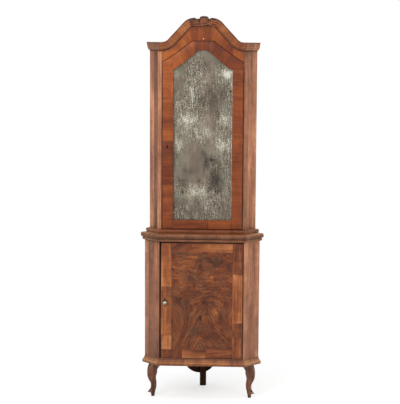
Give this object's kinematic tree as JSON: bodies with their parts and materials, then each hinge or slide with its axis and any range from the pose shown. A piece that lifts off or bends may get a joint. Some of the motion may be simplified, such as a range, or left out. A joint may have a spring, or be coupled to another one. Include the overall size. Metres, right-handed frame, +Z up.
{
  "type": "corner cupboard",
  "caption": "Two-stage corner cupboard with arched cornice, mirrored upper door, veneered lower door, cabriole front legs and a plain rear leg",
  "frame": {"origin": "centre of the bounding box in plan, on the floor under the legs", "axes": "+Z up, +X to the right of someone facing the doors, +Y from the doors towards the corner of the room"},
  "size_m": [0.643, 0.3328, 2],
  "materials": {
    "moulding_walnut": "worn shellac",
    "carved_walnut": "worn shellac",
    "stained_softwood": "dark and dusty",
    "cant_walnut": "faded shellac",
    "door_walnut": "shellac",
    "burl_walnut": "shellac",
    "old_mirror": "foxed silvering",
    "iron": "old forged iron",
    "brass": "dark patina",
    "key_iron": "rubbed bright",
    "softwood": "bare and aged"
  },
  "bodies": {
    "cabinet": {"plinth_left": "moulding_walnut", "plinth_front": "moulding_walnut", "plinth_right": "moulding_walnut", "front_leg_left": "carved_walnut", "front_leg_right": "carved_walnut", "rear_leg": "stained_softwood", "lower_side_left": "cant_walnut", "lower_side_right": "cant_walnut", "lower_post_left": "softwood", "lower_post_right": "softwood", "lower_back_left": "softwood", "lower_back_right": "softwood", "lower_back_centre": "stained_softwood", "lower_bottom": "softwood", "lower_top": "softwood", "lower_shelf": "softwood", "waist_moulding_left": "moulding_walnut", "waist_moulding_front": "moulding_walnut", "waist_moulding_right": "moulding_walnut", "base_moulding_left": "moulding_walnut", "base_moulding_front": "moulding_walnut", "base_moulding_right": "moulding_walnut", "upper_side_left": "cant_walnut", "upper_side_right": "cant_walnut", "upper_post_left": "softwood", "upper_post_right": "softwood", "upper_back_left": "softwood", "upper_back_right": "softwood", "upper_back_centre": "softwood", "upper_bottom": "softwood", "upper_top": "softwood", "upper_shelf_low": "softwood", "upper_shelf_high": "softwood", "frieze": "door_walnut", "cornice_arch_left": "moulding_walnut", "cornice_arch_right": "moulding_walnut", "cornice_return_left": "moulding_walnut", "cornice_return_right": "moulding_walnut", "crest": "carved_walnut", "lower_hinge_low_jamb_leaf": "iron", "lower_hinge_high_jamb_leaf": "iron", "upper_hinge_low_jamb_leaf": "iron", "upper_hinge_high_jamb_leaf": "iron"},
    "upper_door": {"upper_door_stile_left": "door_walnut", "upper_door_stile_right": "door_walnut", "upper_door_arch_rail": "door_walnut", "upper_door_bottom_rail": "door_walnut", "mirror_glass": "old_mirror", "mirror_backboard": "softwood", "upper_hinge_low_door_leaf": "iron", "upper_hinge_high_door_leaf": "iron", "upper_lock_case": "iron"},
    "lower_door": {"lower_door_panel": "burl_walnut", "lower_hinge_low_door_leaf": "iron", "lower_hinge_high_door_leaf": "iron", "lower_lock_case": "iron", "escutcheon": "brass"},
    "lower_key": {"lower_key": "key_iron"},
    "lower_bolt": {"lower_lock_bolt": "iron"},
    "upper_bolt": {"upper_lock_bolt": "iron"}
  },
  "joints": [
    {"name": "upper_door_hinge", "type": "hinge", "parent": "cabinet", "child": "upper_door", "pos_m": [0.2097, -0.0996, 1.334], "axis": [0, 0, 1], "range_deg": [0, 140]},
    {"name": "lower_door_hinge", "type": "hinge", "parent": "cabinet", "child": "lower_door", "pos_m": [0.2169, -0.1396, 0.5245], "axis": [0, 0, 1], "range_deg": [0, 140]},
    {"name": "lower_key_turn", "type": "hinge", "parent": "lower_door", "child": "lower_key", "pos_m": [-0.1895, -0.1376, 0.519], "axis": [0, 1, 0], "range_deg": [0, 90]},
    {"name": "lower_bolt_slide", "type": "slide", "parent": "lower_door", "child": "lower_bolt", "axis": [-1, 0, 0], "range_m": [0, 0.009]},
    {"name": "upper_bolt_slide", "type": "slide", "parent": "upper_door", "child": "upper_bolt", "axis": [-1, 0, 0], "range_m": [0, 0.009]}
  ],
  "couplings": [
    {"joint": "lower_bolt_slide", "follows": "lower_key_turn", "m_per_rad": 0.005729}
  ]
}
